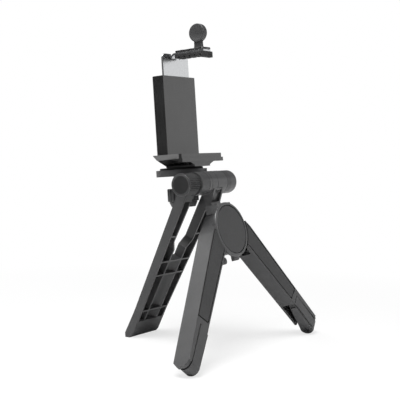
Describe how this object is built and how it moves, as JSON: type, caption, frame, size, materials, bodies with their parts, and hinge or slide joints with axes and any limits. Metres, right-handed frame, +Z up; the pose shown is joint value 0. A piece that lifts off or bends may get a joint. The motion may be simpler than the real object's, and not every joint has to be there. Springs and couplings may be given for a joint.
{
  "type": "phone tripod",
  "caption": "Small folding tripod with a sprung clamp for a phone, a tilting head on a barrel hinge, two hub-mounted front legs with turn-out feet and a ribbed rear leg.",
  "frame": {"origin": "on the ground, midway between the feet's outermost points", "axes": "+X along the barrel to its domed end cap, -Y towards the front legs, +Z up"},
  "size_m": [0.1532, 0.0911, 0.1956],
  "materials": {
    "black_plastic": "satin moulded, fine texture",
    "black_gloss": "glossy moulded",
    "black_rubber": "matt",
    "chrome": "polished plate",
    "steel": "zinc plated",
    "brass": "machined"
  },
  "bodies": {
    "hub": {"hub_frame": "black_plastic", "hub_cap": "black_plastic", "hub_retainer": "black_plastic", "leg_hinge_bolt": "steel", "leg_hinge_nut": "steel", "leg_wave_washer": "steel"},
    "left_leg": {"left_leg": "black_plastic", "left_grip_panel": "black_plastic", "left_foot_screw": "steel"},
    "right_leg": {"right_leg": "black_plastic", "right_grip_panel": "black_plastic", "right_foot_screw": "steel"},
    "left_foot": {"left_foot_arm": "black_plastic"},
    "right_foot": {"right_foot_arm": "black_plastic"},
    "rear_leg": {"rear_leg": "black_plastic", "tilt_nut": "steel", "barrel_end_cap": "black_plastic"},
    "knob": {"tilt_knob": "black_plastic", "knob_washer": "black_rubber", "tilt_bolt": "steel"},
    "head": {"head_bracket": "black_plastic", "platform_pad": "black_rubber"},
    "wheel": {"thumbwheel": "black_plastic", "camera_screw": "steel", "screw_clip": "steel"},
    "clamp": {"clamp_body": "black_gloss", "thread_insert": "brass", "lower_jaw_pad": "black_rubber", "clamp_back_cover": "black_gloss", "left_cover_screw": "steel", "right_cover_screw": "steel", "left_jaw_spring": "steel", "right_jaw_spring": "steel"},
    "upper_jaw": {"slide_plate": "chrome", "upper_jaw_pad": "black_rubber", "upper_jaw_cap": "black_gloss", "front_jaw_rivet": "steel", "back_jaw_rivet": "steel", "pull_tab": "black_plastic"}
  },
  "joints": [
    {"name": "left_leg_swing", "type": "hinge", "parent": "hub", "child": "left_leg", "pos_m": [0, -0.01572, 0.07037], "axis": [0, 0.9489, -0.3156], "range_deg": [-42, 0]},
    {"name": "right_leg_swing", "type": "hinge", "parent": "hub", "child": "right_leg", "pos_m": [0, -0.01572, 0.07037], "axis": [0, 0.9489, -0.3156], "range_deg": [0, 42]},
    {"name": "left_foot_turn", "type": "hinge", "parent": "left_leg", "child": "left_foot", "pos_m": [-0.06914, -0.04046, 0.00582], "axis": [0.742, -0.2116, -0.6362], "range_deg": [0, 150]},
    {"name": "right_foot_turn", "type": "hinge", "parent": "right_leg", "child": "right_foot", "pos_m": [0.06914, -0.04046, 0.00582], "axis": [0.742, 0.2116, 0.6362], "range_deg": [0, 150]},
    {"name": "rear_leg_fold", "type": "hinge", "parent": "hub", "child": "rear_leg", "pos_m": [0, -0.006, 0.0996], "axis": [1, 0, 0], "range_deg": [-28, 0]},
    {"name": "head_tilt", "type": "hinge", "parent": "hub", "child": "head", "pos_m": [0, -0.006, 0.0996], "axis": [1, 0, 0], "range_deg": [-24, 94]},
    {"name": "knob_turn", "type": "hinge", "parent": "rear_leg", "child": "knob", "pos_m": [0, -0.006, 0.0996], "axis": [1, 0, 0], "continuous": true},
    {"name": "wheel_turn", "type": "hinge", "parent": "head", "child": "wheel", "pos_m": [0, 0.0138, 0.09759], "axis": [0, 0.1011, 0.9949], "continuous": true},
    {"name": "clamp_turn", "type": "hinge", "parent": "head", "child": "clamp", "pos_m": [0, 0.0138, 0.09759], "axis": [0, 0.1011, 0.9949], "continuous": true},
    {"name": "jaw_slide", "type": "slide", "parent": "clamp", "child": "upper_jaw", "axis": [0, 0.1011, 0.9949], "range_m": [-0.0047, 0.0133], "stiffness_N_per_m": 60, "deforming": ["left_jaw_spring", "right_jaw_spring"]}
  ]
}
